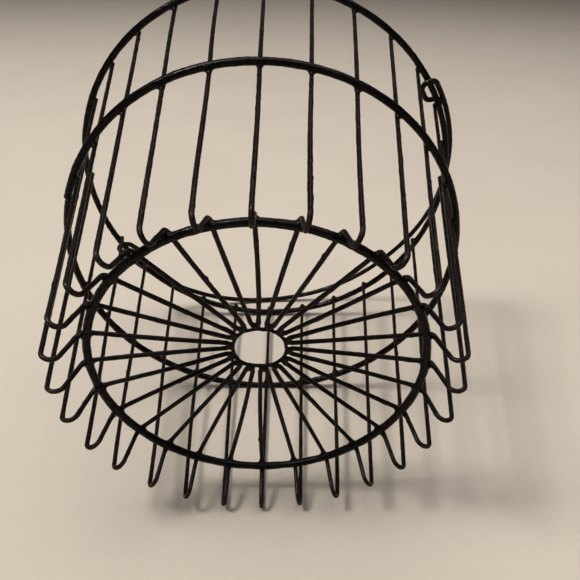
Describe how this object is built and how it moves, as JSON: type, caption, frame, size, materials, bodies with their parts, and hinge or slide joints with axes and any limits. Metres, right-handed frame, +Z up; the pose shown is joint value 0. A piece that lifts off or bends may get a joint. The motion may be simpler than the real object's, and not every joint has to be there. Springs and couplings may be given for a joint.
{
  "type": "egg collection basket",
  "caption": "Round open wire basket with flared sides, bent-wire feet, a spoked wire bottom, three heavy hoops and a swinging wire bail handle.",
  "frame": {"origin": "on the basket's axis, in the plane the feet stand on", "axes": "+Z up along the basket's axis from feet to rim; +X along the bail's hinge line, the longest extent with the bail folded; the folded bail lies over the +Y side"},
  "size_m": [0.3274, 0.3225, 0.287],
  "materials": {
    "rib_wire": "satin black coating with small lumps and brown-grey wear",
    "hoop_wire": "semi-gloss black coating, slightly lumpy",
    "bail_wire": "satin black coating, worn on the underside of the bow"
  },
  "bodies": {
    "basket": {"rib_wire_01": "rib_wire", "rib_wire_02": "rib_wire", "rib_wire_03": "rib_wire", "rib_wire_04": "rib_wire", "rib_wire_05": "rib_wire", "rib_wire_06": "rib_wire", "rib_wire_07": "rib_wire", "rib_wire_08": "rib_wire", "rib_wire_09": "rib_wire", "rib_wire_10": "rib_wire", "rib_wire_11": "rib_wire", "rib_wire_12": "rib_wire", "rib_wire_13": "rib_wire", "rib_wire_14": "rib_wire", "hub_ring": "hoop_wire", "base_ring": "hoop_wire", "belly_hoop": "hoop_wire", "top_rim": "hoop_wire"},
    "bail": {"bail_handle": "bail_wire"}
  },
  "joints": [
    {"name": "bail_swing", "type": "hinge", "parent": "basket", "child": "bail", "pos_m": [0, 0, 0.2544], "axis": [1, 0, 0], "range_deg": [0, 126]}
  ]
}
